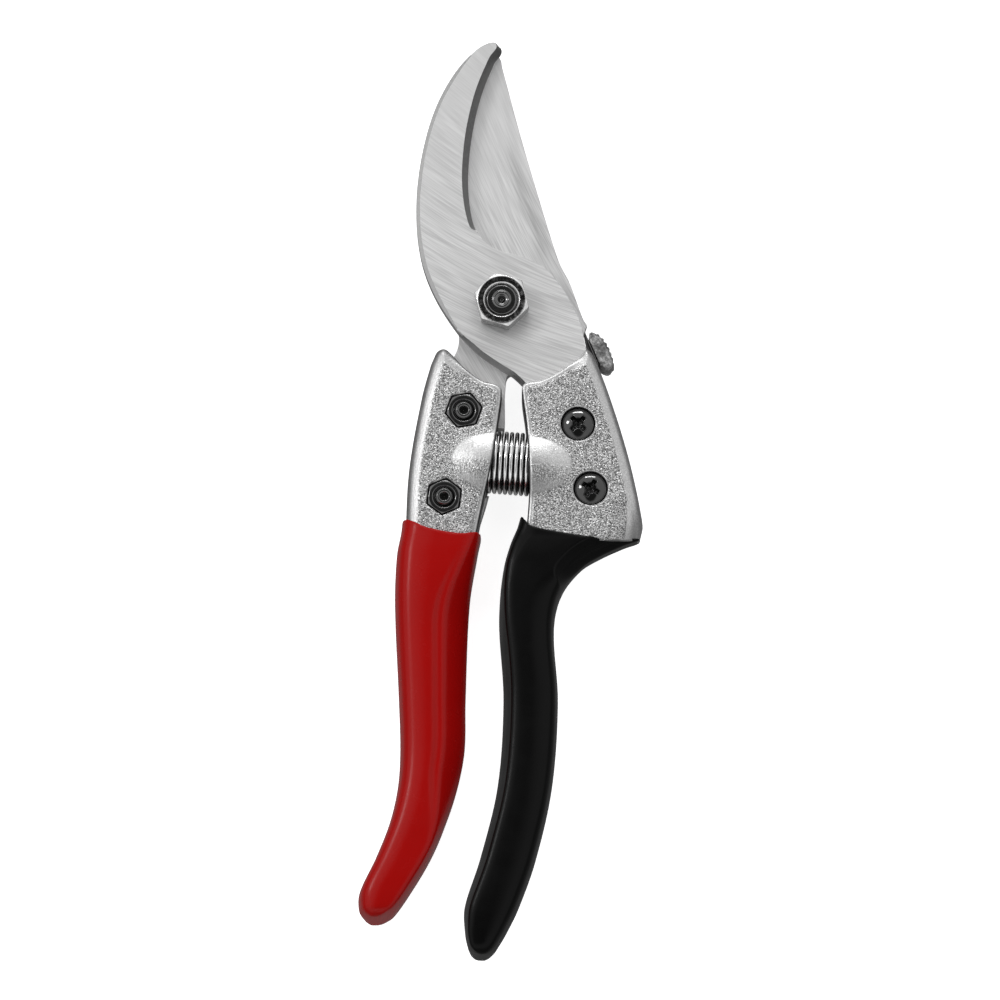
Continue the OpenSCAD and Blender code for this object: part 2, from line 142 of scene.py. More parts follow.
def either(a, b, r=0.0):
    """Union with its inner corner filled to radius r."""
    if np.isscalar(r) and r == 0:
        return np.minimum(a, b)
    return np.maximum(np.minimum(a, b), r) - np.hypot(np.maximum(r - a, 0), np.maximum(r - b, 0))


def cut(a, b, r=0.0):
    return both(a, -b, r)


def polygon_field(line, x, y):
    """Signed distance in the plane to a closed outline, negative inside."""
    x, y = np.broadcast_arrays(x, y)
    best = np.full(x.shape, 1e9, np.float32)
    inside = np.zeros(x.shape, bool)
    for (ax, ay), (bx, by) in zip(line, np.roll(line, -1, axis=0)):
        ex, ey = bx - ax, by - ay
        wx, wy = x - ax, y - ay
        t = np.clip((wx * ex + wy * ey) / (ex * ex + ey * ey), 0, 1)
        best = np.minimum(best, (wx - t * ex) ** 2 + (wy - t * ey) ** 2)
        if ay != by:
            crossing = ((ay > y) != (by > y)) & (x < ex * (y - ay) / ey + ax)
            inside ^= crossing
    return np.where(inside, -1, 1) * np.sqrt(best)


def cad_field(node, block):
    """Signed distance to a CAD node's surface, exact near it and limited further away."""
    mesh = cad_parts[node].data
    mesh.calc_loop_triangles()
    points = np.zeros(len(mesh.vertices) * 3, np.float32)
    mesh.vertices.foreach_get("co", points)
    points = (points.reshape(-1, 3) / MM - block.low) / block.step
    faces = np.zeros(len(mesh.loop_triangles) * 3, np.int32)
    mesh.loop_triangles.foreach_get("vertices", faces)
    grid = openvdb.FloatGrid.createLevelSetFromPolygons(
        points.astype(np.float32), triangles=faces.reshape(-1, 3).astype(np.uint32), halfWidth=3.0)
    field = np.zeros(block.shape, np.float32)
    grid.copyToArray(field, ijk=(0, 0, 0))
    return field * block.step


def hexagon(x, y, across_flats, corner):
    """Distance in the plane to a hexagon that has a corner at that angle."""
    best = None
    for k in range(3):
        a = math.radians(corner + 30 + 60 * k)
        side = np.abs(x * math.cos(a) + y * math.sin(a)) - across_flats / 2
        best = side if best is None else np.maximum(best, side)
    return best


def solid_mesh(name, field, block):
    """Mesh object around the negative part of a field, normals from the field's slope, and its points."""
    scaled = np.clip(field / block.step, -4, 4).astype(np.float32)
    grid = openvdb.FloatGrid(4.0)
    grid.copyFromArray(scaled)
    points, quads = grid.convertToQuads(isovalue=0.0)
    mesh = bpy.data.meshes.new(name)
    places = points * block.step + block.low
    mesh.from_pydata(places * MM, [], quads.astype(int))
    mesh.update()
    mesh.shade_smooth()
    # slope of the field at each vertex, by linear interpolation
    corner = np.clip(np.floor(points).astype(int), 0, np.array(block.shape) - 2)
    part = points - corner
    normal = np.zeros_like(points)
    for axis in range(3):
        slope = np.gradient(scaled, axis=axis)
        value = np.zeros(len(points))
        for dx in (0, 1):
            for dy in (0, 1):
                for dz in (0, 1):
                    w = (np.abs(1 - dx - part[:, 0]) * np.abs(1 - dy - part[:, 1])
                         * np.abs(1 - dz - part[:, 2]))
                    value += w * slope[corner[:, 0] + dx, corner[:, 1] + dy, corner[:, 2] + dz]
        normal[:, axis] = value
    normal /= np.maximum(np.linalg.norm(normal, axis=1, keepdims=True), 1e-6)
    mesh.normals_split_custom_set_from_vertices(normal.tolist())
    obj = bpy.data.objects.new(name, mesh)
    bpy.context.collection.objects.link(obj)
    return obj, places


def slab(b, low, high):
    """Distance to the layer of the block between the heights of two corners of a box."""
    return np.abs(b.z - (low[2] + high[2]) / 2) - (high[2] - low[2]) / 2


def paint(obj, name, values):
    """Stores a value for each vertex, which a material reads as a layer."""
    layer = obj.data.attributes.new(name, "FLOAT", "POINT")
    layer.data.foreach_set("value", np.asarray(values, np.float32))


def finish_piece(obj, body, node, slot, *materials):
    """Gives a piece its materials, keeping each face's material number, and its place in the frame."""
    numbers = np.zeros(len(obj.data.polygons), np.int32)
    obj.data.polygons.foreach_get("material_index", numbers)
    obj.data.materials.clear()
    for material in materials:
        obj.data.materials.append(material)
    obj.data.polygons.foreach_set("material_index", numbers)
    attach(obj, body)
    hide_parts(node)
    return obj


# ---------------------------------------------------------------- materials

class Nodes:
    """Short way to build the node tree of a material, or of the world if its tree is given."""

    def __init__(self, name, tree=None):
        if tree is None:
            self.material = bpy.data.materials.new(name)
            self.material.use_nodes = True
            self.tree = self.material.node_tree
            self.shader = self.tree.nodes["Principled BSDF"]
            self.place = self.add("ShaderNodeTexCoord").outputs["Object"]
        else:
            self.tree = tree

    def add(self, kind, inputs=None, **settings):
        node = self.tree.nodes.new(kind)
        for key, value in settings.items():
            setattr(node, key, value)
        for key, value in (inputs or {}).items():
            if isinstance(value, bpy.types.NodeSocket):
                self.tree.links.new(value, node.inputs[key])
            else:
                node.inputs[key].default_value = value
        return node

    def set(self, **values):
        for key, value in values.items():
            socket = self.shader.inputs[key.replace("_", " ")]
            if isinstance(value, bpy.types.NodeSocket):
                self.tree.links.new(value, socket)
            else:
                socket.default_value = value

    def math(self, operation, a, b=0.0):
        return self.add("ShaderNodeMath", {0: a, 1: b}, operation=operation).outputs[0]

    def sum(self, a, b):
        return self.math("ADD", a, b)

    def less(self, a, b):
        return self.math("SUBTRACT", a, b)

    def times(self, a, b):
        return self.math("MULTIPLY", a, b)

    def moved(self, scale=(1, 1, 1), shift=(0, 0, 0)):
        sockets = {"Vector": self.place, "Scale": scale, "Location": shift}
        return self.add("ShaderNodeMapping", sockets).outputs[0]

    def noise(self, vector, scale, detail=2.0, roughness=0.5):
        return self.add("ShaderNodeTexNoise", {"Vector": vector, "Scale": scale, "Detail": detail,
                                               "Roughness": roughness}).outputs["Fac"]

    def ramp(self, value, *stops):
        """Colour ramp; each stop is (position, grey or colour)."""
        node = self.add("ShaderNodeValToRGB", {0: value})
        ramp = node.color_ramp
        while len(ramp.elements) < len(stops):
            ramp.elements.new(0.5)
        for element, (position, colour) in zip(ramp.elements, stops):
            element.position = position
            element.color = (colour,) * 3 + (1,) if np.isscalar(colour) else tuple(colour) + (1,)
        return node.outputs["Color"]

    def span(self, value, low, high, start=0.0, end=1.0, smooth=False):
        """Low where the value is at start, high where it's at end."""
        return self.add("ShaderNodeMapRange", {"Value": value, "From Min": start, "From Max": end,
                                               "To Min": low, "To Max": high},
                        interpolation_type="SMOOTHSTEP" if smooth else "LINEAR").outputs[0]

    def blend(self, factor, a, b):
        node = self.add("ShaderNodeMix", data_type="RGBA")
        for index, value in ((0, factor), (6, a), (7, b)):
            if isinstance(value, bpy.types.NodeSocket):
                self.tree.links.new(value, node.inputs[index])
            else:
                node.inputs[index].default_value = value if index == 0 else tuple(value) + (1,)
        return node.outputs[2]

    def bump(self, height, strength, distance_mm):
        return self.add("ShaderNodeBump", {"Height": height, "Strength": strength,
                                           "Distance": distance_mm * MM}).outputs[0]

    def layer(self, name):
        return self.add("ShaderNodeAttribute", attribute_name=name).outputs["Fac"]


def brushed_steel(name, centre_mm_xy, tone, painted_shade_band=None):
    """Steel ground in long arcs around a far centre, seen as fine parallel lines that grow weaker to the tip.
    A painted shade band between two points darkens the steel in a narrow band along the line between them,
    standing in for a dimmer reflection."""
    m = Nodes(name)
    split = m.add("ShaderNodeSeparateXYZ", {0: m.place}).outputs
    x = m.less(split[0], centre_mm_xy[0] * MM)
    y = m.less(split[1], centre_mm_xy[1] * MM)
    reach = m.math("SQRT", m.sum(m.times(x, x), m.times(y, y)))
    far = math.hypot(centre_mm_xy[0], centre_mm_xy[1] - 25) * MM
    along = m.times(m.math("ARCTAN2", y, x), far * 0.03)
    lines = m.add("ShaderNodeCombineXYZ", {0: reach, 1: along, 2: split[2]}).outputs[0]
    fine = m.noise(lines, 5200, 0, 0.5)
    broad = m.noise(lines, 2400, 1, 0.5)
    grain = m.sum(m.times(fine, 0.8), m.times(broad, 0.2))
    patch = m.noise(m.place, 45, 2, 0.5)
    low, high = tone * 0.87, min(tone * 1.13, 0.98)
    lined = m.ramp(grain, (0.3, (low, low, low * 0.998)), (0.7, (high, high, high * 0.998)))
    plain = m.ramp(patch, (0.3, tone * 0.97), (0.7, min(tone * 1.03, 0.98)))
    colour = m.blend(m.span(split[1], 0.85, 0.3, 0.012, 0.045), plain, lined)
    # painted shade: a darker band standing in for a dimmer reflection of the steel
    if painted_shade_band:
        (ax, ay), (bx, by) = painted_shade_band
        long = math.hypot(bx - ax, by - ay)
        nx, ny = -(by - ay) / long, (bx - ax) / long
        middle = (ax * nx + ay * ny) * MM
        off = m.math("ABSOLUTE", m.sum(m.times(split[0], nx), m.less(m.times(split[1], ny), middle)))
        narrow = m.span(off, 1.0, 0.0, 0.0, 3.2 * MM, smooth=True)
        lower = m.span(split[1], 1.0, 0.0, ay * MM, (ay + 16) * MM, smooth=True)
        upper = m.span(split[1], 0.0, 1.0, (by - 8) * MM, by * MM, smooth=True)
        amount = m.times(m.times(narrow, m.times(lower, upper)), 0.6)
        band_shade_colour = m.ramp(grain, (0.3, tone * 0.5), (0.7, tone * 0.75))
        colour = m.blend(amount, colour, band_shade_colour)
    m.set(Base_Color=colour, Metallic=1.0, Roughness=m.span(grain, 0.47, 0.54, 0.3, 0.7),
          Normal=m.bump(grain, 0.12, 0.01))
    return m.material


def bevel_steel_with_painted_shade():
    """Bevel along the hook's inner edge; its very dark colour is painted shade, standing in for the dark
    surroundings it reflects.
    """
    m = Nodes("inner_bevel_painted_shade")
    grain = m.noise(m.place, 1500, 3, 0.6)
    m.set(Base_Color=m.ramp(grain, (0.3, 0.10), (0.7, 0.16)), Metallic=0.6,
          Roughness=m.span(grain, 0.45, 0.6, 0.3, 0.7), Normal=m.bump(grain, 0.3, 0.05))
    return m.material


def edge_steel():
    """Blanked and rough-ground edges of the blades; their darker tone is partly that rougher finish and
    partly painted shade along the edges.
    """
    m = Nodes("edge_steel")
    grain = m.noise(m.moved(scale=(1, 1, 0.2)), 1700, 2, 0.6)
    m.set(Base_Color=m.ramp(grain, (0.3, 0.38), (0.7, 0.47)), Metallic=1.0,
          Roughness=m.span(grain, 0.45, 0.6, 0.3, 0.7), Normal=m.bump(grain, 0.2, 0.03))
    return m.material


def cast_aluminium():
    """Sandblasted casting. The painted layer "blast" is 1 where it's coarse and 0 where it's worn smooth, and
    the layer "shade" is 1 where shade is painted on the edges that face the other handle, and a little on the
    outer margin."""
    m = Nodes("sandblasted_aluminium")
    grain = m.noise(m.place, 3300, 1, 0.5)
    specks = m.noise(m.moved(shift=(0.3, 0.1, 0.2)), 5200, 0, 0.5)
    mixed = m.sum(m.times(grain, 0.65), m.times(specks, 0.35))
    soft = m.noise(m.place, 120, 2, 0.5)
    worn = m.noise(m.place, 1500, 2, 0.5)
    ragged = m.sum(m.layer("blast"), m.times(m.less(worn, 0.5), 0.9))
    border = m.span(ragged, 0.0, 1.0, 0.1, 0.9, smooth=True)
    rough_colour = m.ramp(mixed, (0.36, 0.08), (0.46, 0.29), (0.54, 0.51), (0.64, 0.90))
    smooth_colour = m.ramp(soft, (0.3, 0.60), (0.7, 0.64))
    fine_colour = m.blend(0.25, smooth_colour, rough_colour)
    # painted shade, blended in where the layer "shade" is set
    painted_shade_colour = m.ramp(soft, (0.3, 0.05), (0.7, 0.08))
    colour = m.blend(m.layer("shade"), m.blend(border, fine_colour, rough_colour), painted_shade_colour)
    height = m.times(mixed, m.span(border, 0.25, 1.0))
    m.set(Base_Color=colour, Metallic=1.0,
          Roughness=m.span(soft, 0.36, 0.42, 0.3, 0.7), Normal=m.bump(height, 0.9, 0.22))
    return m.material


def vinyl(name, low, high, roughness, specular):
    """Glossy dipped plastic, whose colour wanders a little between two tones."""
    m = Nodes(name)
    soft = m.noise(m.place, 60, 2, 0.5)
    peel = m.noise(m.place, 260, 2, 0.5)
    m.set(Base_Color=m.ramp(soft, (0.3, high), (0.7, low)), Metallic=0.0,
          Roughness=m.span(peel, roughness * 0.9, roughness * 1.12, 0.3, 0.7), IOR=1.5,
          Specular_IOR_Level=specular, Normal=m.bump(peel, 0.06, 0.1))
    return m.material


def black_oxide(name, tone, roughness, ior):
    """Blackened steel, slightly worn."""
    m = Nodes(name)
    wear = m.noise(m.place, 500, 3, 0.6)
    fine = m.noise(m.place, 1400, 2, 0.5)
    m.set(Base_Color=m.ramp(wear, (0.35, tone * 0.6), (0.75, tone * 1.6)), Metallic=0.0,
          Roughness=m.span(fine, roughness * 0.7, roughness * 1.4, 0.3, 0.7), IOR=ior,
          Normal=m.bump(fine, 0.3, 0.04))
    return m.material


def polished_steel(name, tone, roughness):
    """Plated or drawn steel; the painted layer "dark" is 1 where shade or a dark reflection is painted into
    its colour.
    """
    m = Nodes(name)
    wear = m.noise(m.place, 900, 3, 0.65)
    fine = m.noise(m.place, 2600, 2, 0.5)
    unshaded_tone = m.ramp(wear, (0.3, tone * 0.8), (0.7, min(0.95, tone * 1.15)))
    # painted shade and dark reflection, mottled by the same noise
    painted_shade_tone = m.ramp(wear, (0.35, 0.02), (0.52, 0.07), (0.7, 0.35))
    m.set(Base_Color=m.blend(m.layer("dark"), unshaded_tone, painted_shade_tone), Metallic=1.0,
          Roughness=m.span(fine, roughness * 0.7, roughness * 1.4, 0.3, 0.7), Normal=m.bump(fine, 0.15, 0.04))
    return m.material


def rough_grey():
    """Coarse unpainted casting of the thumb pad."""
    m = Nodes("rough_grey")
    grain = m.noise(m.place, 1900, 3, 0.6)
    soft = m.noise(m.place, 500, 2, 0.5)
    mixed = m.sum(m.times(grain, 0.5), m.times(soft, 0.5))
    m.set(Base_Color=m.ramp(mixed, (0.36, 0.10), (0.5, 0.24), (0.64, 0.6)), Metallic=0.7,
          Roughness=m.span(grain, 0.35, 0.6, 0.3, 0.7), Normal=m.bump(mixed, 0.8, 0.15))
    return m.material


HOOK_STEEL = brushed_steel("hook_brushed_steel", (60, 130), 0.75)
BLADE_STEEL = brushed_steel("cutting_brushed_steel", (277, 152), 0.78, painted_shade_band=((4.8, 27), (9.8, 13.5)))
INNER_BEVEL_SHADED_STEEL = bevel_steel_with_painted_shade()
EDGE_STEEL = edge_steel()
CAST = cast_aluminium()
RED = vinyl("red_vinyl", (0.325, 0.0032, 0.0026), (0.345, 0.0026, 0.0021), 0.25, 0.13)
BLACK = vinyl("black_vinyl", (0.0036, 0.0036, 0.0036), (0.0028, 0.0028, 0.0028), 0.28, 0.09)
OXIDE = black_oxide("black_oxide", 0.006, 0.12, 2.1)
HEAD_BLACK = black_oxide("black_screw_heads", 0.003, 0.07, 1.75)
NUT_STEEL = polished_steel("zinc_steel", 0.72, 0.26)
SPRING_STEEL = polished_steel("spring_steel", 0.8, 0.14)
WASHER_STEEL = polished_steel("washer_steel", 0.7, 0.28)
PAD_GREY = rough_grey()

# ---------------------------------------------------------------- shared places

SPRING_LOW, SPRING_HIGH = box_mm("spring")
SPRING_AT = (SPRING_LOW + SPRING_HIGH) / 2
TILT = math.radians(-4.5)        # of the spring's axis, from +X
MOUTH = 4.0                      # from the spring's middle to the mouth of each socket
SOCKET_R = 7.45
SOCKET_DEEP = 9.4                # from the spring's middle to the socket's floor
BOSS_LONG = 9.8                  # the boss over the socket, from its mouth
BOSS_HALF = 6.65
BOSS_RISE = 2.0
BOSS_SHIFT = -1.3                # of the boss across the spring's axis
HEAD_HALF = 6.5                  # half of a head's thickness
HEAD_MIDDLE_X = {-1: -10, 1: 17}
NUT_CORNERS = {"left_upper_nut": 10, "left_lower_nut": 23, "right_upper_nut": 15, "right_lower_nut": 40}
CROSS_TURNS = {"left_upper_screw": 45, "left_lower_screw": 20,
               "right_upper_screw": 45, "right_lower_screw": 60}


def along_spring(x, y):
    """Distance along the spring's axis from its middle, and across it in plan."""
    x, y = x - SPRING_AT[0], y - SPRING_AT[1]
    return x * math.cos(TILT) + y * math.sin(TILT), -x * math.sin(TILT) + y * math.cos(TILT)


def boss_field(along, across):
    """1 at the top of the boss over a socket, 0 at its foot."""
    return 1 - ((along - MOUTH) / BOSS_LONG) ** 2 * (along > MOUTH) - ((across - BOSS_SHIFT) / BOSS_HALF) ** 2


def outward(x, side):
    """How far towards the tool's outside a place on a head is, from the head's middle."""
    return side * (x - HEAD_MIDDLE_X[side])


# ---------------------------------------------------------------- handles

LEFT_HEAD = [[-15.2, -12.6], [-14.4, -11.1], [-12.9, -10.5], [-11.4, -11.6], [-8.1, -15.4], [-4.3, -18.2],
             [-1.1, -19.1], [0, -20.4], [-0.6, -26.5], [-2.3, -37.6], [-4, -45.2], [-6.2, -56, 1],
             [-21.6, -56, 1], [-20.8, -38.8], [-18, -22.2], [-16, -14.6]]
RIGHT_HEAD = [[5, -18.9], [8.8, -18.1], [13.4, -15.7], [17.4, -12.5], [19.1, -10.6],
              [21.4, -14], [25.4, -25.1], [28.6, -36.1], [31, -47], [31.6, -51], [30.6, -58, 1],
              [5, -58, 1], [6.1, -44.6], [6, -36], [5.4, -27.8], [4.5, -20.4]]

# Upper edge of each grip's rim, across the head
LEFT_RIM = smooth_line([[-24.5, -48.8], [-22.3, -49.3], [-19.6, -50.7], [-16.5, -52.2], [-9.3, -53.5],
                        [-4.4, -52.8], [-2, -52.4]], 6)
RIGHT_RIM = smooth_line([[1, -47.6], [4.4, -48.9], [5.2, -50.2], [6.6, -51.7], [12.4, -53.1], [19, -54.2],
                         [22, -54.4], [24, -54.3], [26, -54.1], [28, -53.9], [30, -53.6], [33, -53.4]], 6)


def rim_height(b, rim):
    return np.interp(b.x[:, 0, 0], rim[:, 0], rim[:, 1])[:, None, None].astype(np.float32)


def wing_share(x, y):
    """Share of the full thickness left at the outer end of the right handle's finger stop."""
    return 1 - 0.85 * ramp_to(x, 24, 33) * ramp_to(-y, 44, 54)


def head(points, side, nuts, heads_up, blade, rim, step=0.24):
    """Cast head of one handle, down to just inside the grip's rim; side is -1 for the left one."""
    line = outline(points)
    low = [line[:, 0].min(), line[:, 1].min(), 0]
    high = [line[:, 0].max(), line[:, 1].max(), 2 * MIDDLE_Z + 0.2]
    b = Block(low, high, step)
    plan = polygon_field(line, b.x[:, :, 0], b.y[:, :, 0])[:, :, None]
    along, across = along_spring(b.x, b.y)
    boss = BOSS_RISE * boss_field(side * along, across)
    boss = 0.5 * (boss + np.sqrt(boss**2 + 0.3)) * ramp_to(boss, -6, -2)
    outer = ramp_to(outward(b.x, side), -3.0, 3.0)
    margin = 2.4 + plan
    margin = 0.27 * (margin + np.sqrt(margin**2 + 0.2)) * outer
    height = HEAD_HALF * wing_share(b.x, b.y) + boss - margin
    body = both(plan, np.abs(b.z - MIDDLE_Z) - height, 0.7 + 0.6 * outer)
    body = cut(body, cad_field(blade, b) - 0.08)
    from_axis = np.hypot(across, b.z - MIDDLE_Z)
    socket = both(from_axis - SOCKET_R, side * along - SOCKET_DEEP)
    peg = both(from_axis - 5.5, SOCKET_DEEP - 3 - side * along, 0.4)
    body = cut(body, cut(socket, peg), 0.35)
    body = both(body, rim_height(b, rim) - 0.5 - b.y)
    for node in nuts:
        x, y = centre_mm(node)[:2]
        u, v = b.x - x, b.y - y
        pocket = hexagon(u, v, 7.5, NUT_CORNERS[node])
        bore = np.hypot(u, v)
        if heads_up:
            pocket = both(pocket, b.z - 5.2)
            bore_head = both(bore - 3.85, 13.2 - b.z)
        else:
            pocket = both(pocket, 11.8 - b.z)
            bore_head = both(bore - 3.85, b.z - 3.2)
        for hole in (pocket, bore_head, bore - 2.05):
            body = cut(body, hole, 0.28)
    return b, body


def blast_mask(points, line, smooth_r, side, nuts):
    """1 on the coarse field, less on the worn margin, on the bosses and in the pockets."""
    x, y, z = points.T
    edge = -polygon_field(line, x, y)
    outer = ramp_to(outward(x, side), -3.0, 3.0)
    corner = ramp_to(x, 20, 30) * ramp_to(-y, 44, 53)
    mask = ramp_to(edge - 1.4 * outer - 1.6 * corner, 0.6, 1.7) * ramp_to(np.abs(z - MIDDLE_Z), 3.0, 4.0)
    along, across = along_spring(x, y)
    along = side * along
    on_boss = ramp_to(boss_field(along, across), -0.1, 0.15)
    crest = 1 - ramp_to(np.abs(across - BOSS_SHIFT + 1.8), 0.6, 2.6)
    crest = crest * ramp_to(along, MOUTH - 0.3, MOUTH + 1.2)
    mask = mask * (1 - on_boss) + on_boss * (0.15 + 0.4 * crest)
    for node in nuts:
        cx, cy = centre_mm(node)[:2]
        mask = mask * ramp_to(np.hypot(x - cx, y - cy), smooth_r, smooth_r + 0.25)
    return mask


def shade_mask(points, line, side):
    """1 where shade is painted as dark lines on the sharp edges that face the other handle, and a little
    painted shade on the bevelled outer margin to dim its reflection.
    """
    x, y, z = points.T
    edge = -polygon_field(line, x, y)
    outer = ramp_to(outward(x, side), -5, -2)
    margin = outer * (1 - ramp_to(edge, 1.9, 3.2)) * (0.3 if side < 0 else 0.1)
    return (1 - ramp_to(edge, 0.15, 0.5)) * (1 - outer) * ramp_to(-y, 19.5, 21.5) + margin


def left_handle():
    nuts = ["left_upper_nut", "left_lower_nut"]
    b, body = head(LEFT_HEAD, -1, nuts, False, "cutting_blade", LEFT_RIM)
    obj, points = solid_mesh("left_handle_cast", body, b)
    paint(obj, "blast", blast_mask(points, outline(LEFT_HEAD), 3.9, -1, nuts))
    paint(obj, "shade", shade_mask(points, outline(LEFT_HEAD), -1))
    return finish_piece(obj, "red_half", "left_handle", "cast_aluminium", CAST)


def right_handle():
    nuts = ["right_upper_nut", "right_lower_nut"]
    b, body = head(RIGHT_HEAD, 1, nuts, True, "hook_blade", RIGHT_RIM)
    u, v = catch_place(b.x, b.y)

    def room(u0, u1, v0, v1, z0, z1):
        """Space inside the head for the catch."""
        plan = both(np.abs(u - (u0 + u1) / 2) - (u1 - u0) / 2, np.abs(v - (v0 + v1) / 2) - (v1 - v0) / 2)
        return both(plan, np.abs(b.z - (z0 + z1) / 2) - (z1 - z0) / 2)
    for space in (room(8.2, 20.2, -26.6, -0.6, 5, 8.02), room(10.6, 13, -25.5, -17.5, 4.2, 5.2),
                  room(13.85, 22, -20.95, -11.9, 5, 11.05)):
        body = cut(body, space, 0.2)
    obj, points = solid_mesh("right_handle_cast", body, b)
    paint(obj, "blast", blast_mask(points, outline(RIGHT_HEAD), 4.0, 1, nuts))
    paint(obj, "shade", shade_mask(points, outline(RIGHT_HEAD), 1))
    return finish_piece(obj, "black_half", "right_handle", "cast_aluminium", CAST)


# ---------------------------------------------------------------- grips

# Across each grip: how far along it, the left and right sides, and the share of the full thickness
LEFT_ROWS = [[-48, -22.1, -4.1, 0.98], [-51.9, -22.5, -4.4, 0.98], [-57.5, -23.5, -5.4, 1],
             [-68.6, -23.9, -7.1, 1], [-90.6, -23, -8, 0.97], [-101.6, -22.7, -8.2, 0.96],
             [-109.9, -23.2, -9.7, 0.96], [-118.1, -25, -12.3, 0.95], [-126.4, -28.2, -16, 0.93],
             [-134.2, -31.8, -20.6, 0.9], [-138.4, -32, -23.6, 0.86], [-140.6, -31, -26, 0.8]]
RIGHT_ROWS = [[-44, 5.2, 34.5, 0.98], [-48.5, 4.3, 33.5, 0.98], [-51.5, 3.5, 32.4, 0.98],
              [-53.6, 2.6, 31.2, 0.98], [-55.1, 2, 27.4, 0.99], [-57.6, 1.2, 22, 1], [-60.3, 0.5, 17.8, 1],
              [-65.8, -0.3, 13.5, 1], [-74.1, -0.6, 11.7, 1], [-90.6, 0.3, 12.6, 0.97],
              [-109.9, -1, 11.3, 0.96], [-126.4, -4.9, 7.7, 0.93], [-137.4, -8.3, 3.9, 0.9],
              [-143.6, -8.2, 1, 0.84], [-146.6, -7.6, -0.7, 0.76], [-148.9, -6.8, -2, 0.66]]

# Half of a grip's section, from the outer side over the top to the inner side, as shares of the half width
# and half thickness, each with its corner's rounding: where the inner flat has run out, where it's full on
# each grip, and the outer side of the right grip's finger stop
OUTER_SIDE = [[-1, 0, 0], [-1, 0.56, 2], [-0.84, 0.85, 1.5], [-0.5, 1, 1.5]]
PLAIN = OUTER_SIDE + [[0.55, 1, 0.5], [0.74, 0.98, 0.4], [0.9, 0.9, 0.4], [1, 0.6, 0.8], [1, 0, 0]]
LEFT_FLAT = OUTER_SIDE + [[0.03, 1, 0.5], [0.2, 0.965, 0.35], [0.4, 0.865, 0.35], [0.84, 0.36, 0.8],
                          [1, 0, 0]]
RIGHT_FLAT = OUTER_SIDE + [[0.42, 1, 0.3], [0.53, 0.98, 0.3], [0.68, 0.92, 0.3], [0.9, 0.42, 0.8], [1, 0, 0]]
STOP_SIDE = [[-1, 0, 0], [-1, 0.9, 0.4], [-0.98, 0.97, 0.4], [-0.93, 1, 0.6]]


def grip(name, rows, rim, side, node, body_name, slot, material, flat, step=0.32):
    """Dipped sleeve and the core bar in it. The long flat on the inner side starts, is full between two
    places, and ends: four places along the grip."""
    curve = smooth_line(rows, 8)[::-1]
    low = [curve[:, 1].min() - 0.5, curve[:, 0].min() - 0.5, 0]
    high = [curve[:, 2].max() + 0.5, rim[:, 1].max() + 1, 2 * MIDDLE_Z]
    b = Block(low, high, step)
    y = b.y[0, :, 0]
    columns = [np.interp(y, curve[:, 0], curve[:, k])[None, :, None] for k in (1, 2, 3)]
    left, right, full = (column.astype(np.float32) for column in columns)
    mid, half = (left + right) / 2, (right - left) / 2
    tall = MIDDLE_Z * full
    if side > 0:
        # the finger stop thins out towards its edge
        contour = np.concatenate([curve[:, [1, 0]] - [20, 0], curve[::-1][:, [2, 0]]])
        inside = -polygon_field(contour, b.x[:, :, 0], b.y[:, :, 0])[:, :, None]
        limit = 2.4 + 1.6 * np.maximum(inside, 0) + 12 * (1 - ramp_to(b.y, -72, -60))
        tall = np.minimum(tall, limit)
    u, w = -side * (b.x - mid), np.abs(b.z - MIDDLE_Z)
    start, full_from, full_to, end = flat
    amount = (ramp_to(-b.y, -start, -full_from) * ramp_to(b.y, end, full_to)).astype(np.float32)
    corners = [((p[0] + (f[0] - p[0]) * amount) * half, (p[1] + (f[1] - p[1]) * amount) * tall, p[2])
               for p, f in zip(PLAIN, LEFT_FLAT if side < 0 else RIGHT_FLAT)]
    if side > 0:
        square = ramp_to(b.y, -68, -57).astype(np.float32)
        for k, (su, sw, r) in enumerate(STOP_SIDE):
            pu, pw, _ = corners[k]
            corners[k] = (pu + (su * half - pu) * square, pw + (sw * tall - pw) * square,
                          r * square + (1 - square) * 1.6)
    outer = None
    for (pu, pw, r), (qu, qw, _) in zip(corners, corners[1:]):
        face = (-(qw - pw) * (u - pu) + (qu - pu) * (w - pw)) / np.hypot(qu - pu, qw - pw)
        outer = face if outer is None else both(outer, face, r)
    # the sides lean with the grip's curve, so distances across it are shortened by that slope
    lean = (np.abs(np.gradient(half[0, :, 0], step)) + np.abs(np.gradient(mid[0, :, 0], step)))[None, :, None]
    shortened = np.sqrt(1 + np.minimum(lean, 2.5) ** 2 * (np.abs(u) > 0.7 * half))
    outer = np.where(outer > -2.5, outer, -2.5) / shortened
    if side < 0:
        # shallow channel beside the flat
        gu, gw, _ = corners[5]
        outer = cut(outer, np.hypot(u - gu - 0.1, w - gw - 2.2 + 0.38 * amount) - 2.2, 0.12)
    rim_edge = rim_height(b, rim)
    outer = both(outer, b.y - rim_edge, 0.35)
    outer = both(outer, curve[0, 0] - b.y, 2.2)
    covered = both(cad_field(node, b), outer + 0.9)
    core = both(covered, b.y - rim_edge + 0.45)
    sleeve = cut(outer, both(covered - 0.02, b.y - rim_edge - 0.4))
    bar, points = solid_mesh(name.replace("grip", "core") + "_bar", core, b)
    paint(bar, "blast", np.ones(len(points)))
    finish_piece(bar, body_name, node, "cast_aluminium", CAST)
    obj, _ = solid_mesh(name + "_sleeve", sleeve, b)
    return finish_piece(obj, body_name, name, slot, material)


def left_grip():
    return grip("left_grip", LEFT_ROWS, LEFT_RIM, -1, "left_handle", "red_half", "red_vinyl", RED,
                (-50, -74, -106, -126))


def right_grip():
    return grip("right_grip", RIGHT_ROWS, RIGHT_RIM, 1, "right_handle", "black_half", "black_vinyl", BLACK,
                (-58, -82, -132, -148.5))


# ---------------------------------------------------------------- fasteners

